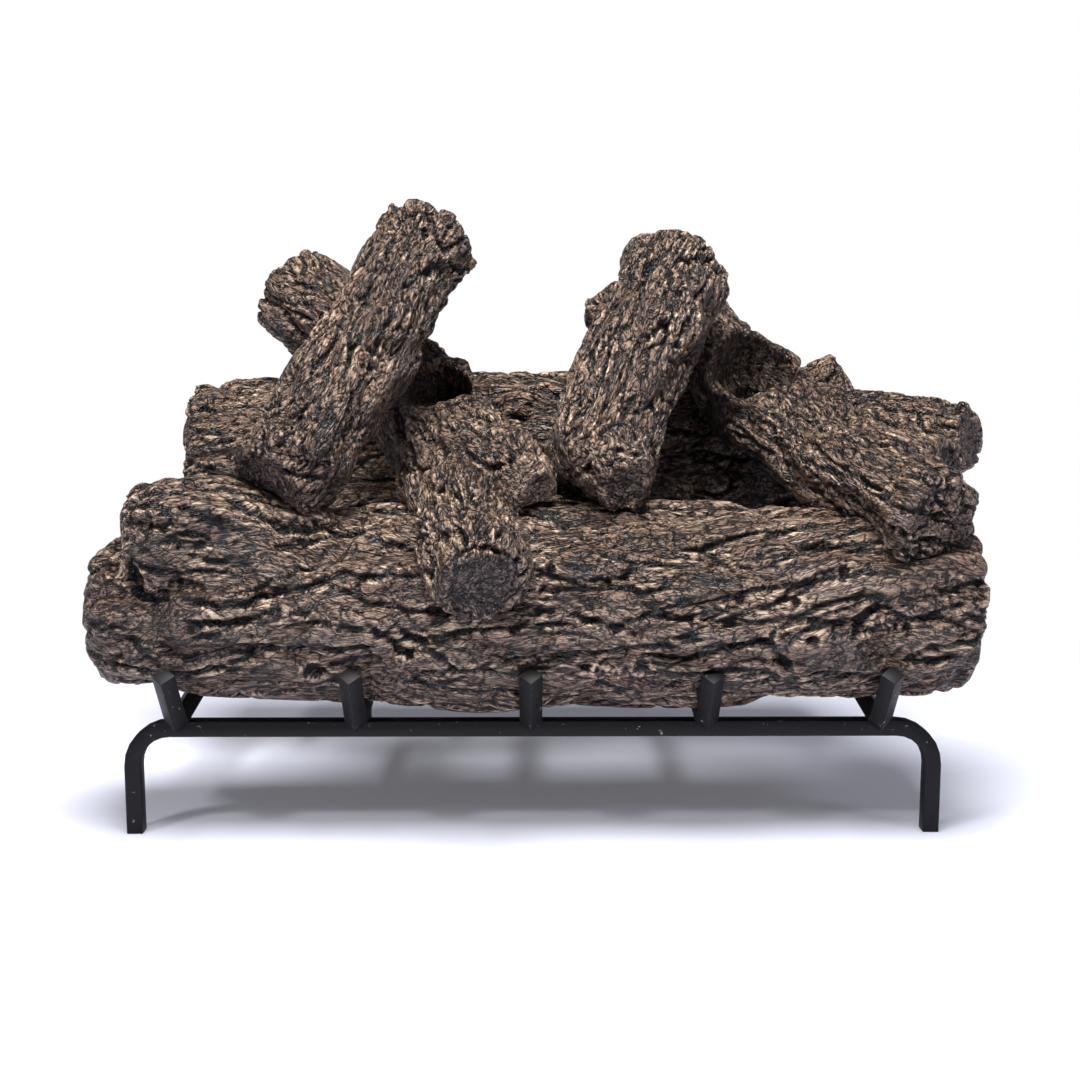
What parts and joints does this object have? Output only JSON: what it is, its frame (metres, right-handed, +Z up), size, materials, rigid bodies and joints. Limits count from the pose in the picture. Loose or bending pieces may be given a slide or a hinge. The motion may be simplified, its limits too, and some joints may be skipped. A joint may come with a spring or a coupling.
{
  "type": "gas log set",
  "caption": "Stack of cast ceramic logs, some forked with burnt-out hollows, on a welded square-bar fireplace grate; each log lifts off.",
  "frame": {"origin": "middle of the whole set's footprint, on the hearth that the grate stands on", "axes": "+X to the right as seen from the front of the fire, +Y to the back, +Z up"},
  "size_m": [0.624, 0.3618, 0.4341],
  "materials": {
    "painted_steel": "semi-matt black heat-resistant paint over square mild steel bar",
    "cast_ceramic": "cast refractory cement with hand-painted charred bark, low sheen"
  },
  "bodies": {
    "grate": {"front_leg_bar": "painted_steel", "rear_crossbar": "painted_steel", "left_rear_leg": "painted_steel", "right_rear_leg": "painted_steel", "grate_finger_1": "painted_steel", "grate_finger_2": "painted_steel", "grate_finger_3": "painted_steel", "grate_finger_4": "painted_steel", "grate_finger_5": "painted_steel"},
    "front_log": {"front_log": "cast_ceramic"},
    "rear_log": {"rear_log": "cast_ceramic"},
    "left_hollow_log": {"left_hollow_log": "cast_ceramic"},
    "left_cross_log": {"left_cross_log": "cast_ceramic"},
    "right_hollow_log": {"right_hollow_log": "cast_ceramic"},
    "middle_cross_log": {"middle_cross_log": "cast_ceramic"}
  },
  "joints": [
    {"name": "rear_log_lift", "type": "slide", "parent": "grate", "child": "rear_log", "axis": [0, 0, 1], "range_m": [0, 0.1]},
    {"name": "front_log_lift", "type": "slide", "parent": "rear_log", "child": "front_log", "axis": [0, 0, 1], "range_m": [0, 0.25]},
    {"name": "left_hollow_log_lift", "type": "slide", "parent": "front_log", "child": "left_hollow_log", "axis": [0, 0, 1], "range_m": [0, 0.2]},
    {"name": "left_cross_log_lift", "type": "slide", "parent": "left_hollow_log", "child": "left_cross_log", "axis": [0, 0, 1], "range_m": [0, 0.2]},
    {"name": "right_hollow_log_lift", "type": "slide", "parent": "front_log", "child": "right_hollow_log", "axis": [0, 0, 1], "range_m": [0, 0.2]},
    {"name": "middle_cross_log_lift", "type": "slide", "parent": "right_hollow_log", "child": "middle_cross_log", "axis": [0, 0, 1], "range_m": [0, 0.2]}
  ]
}
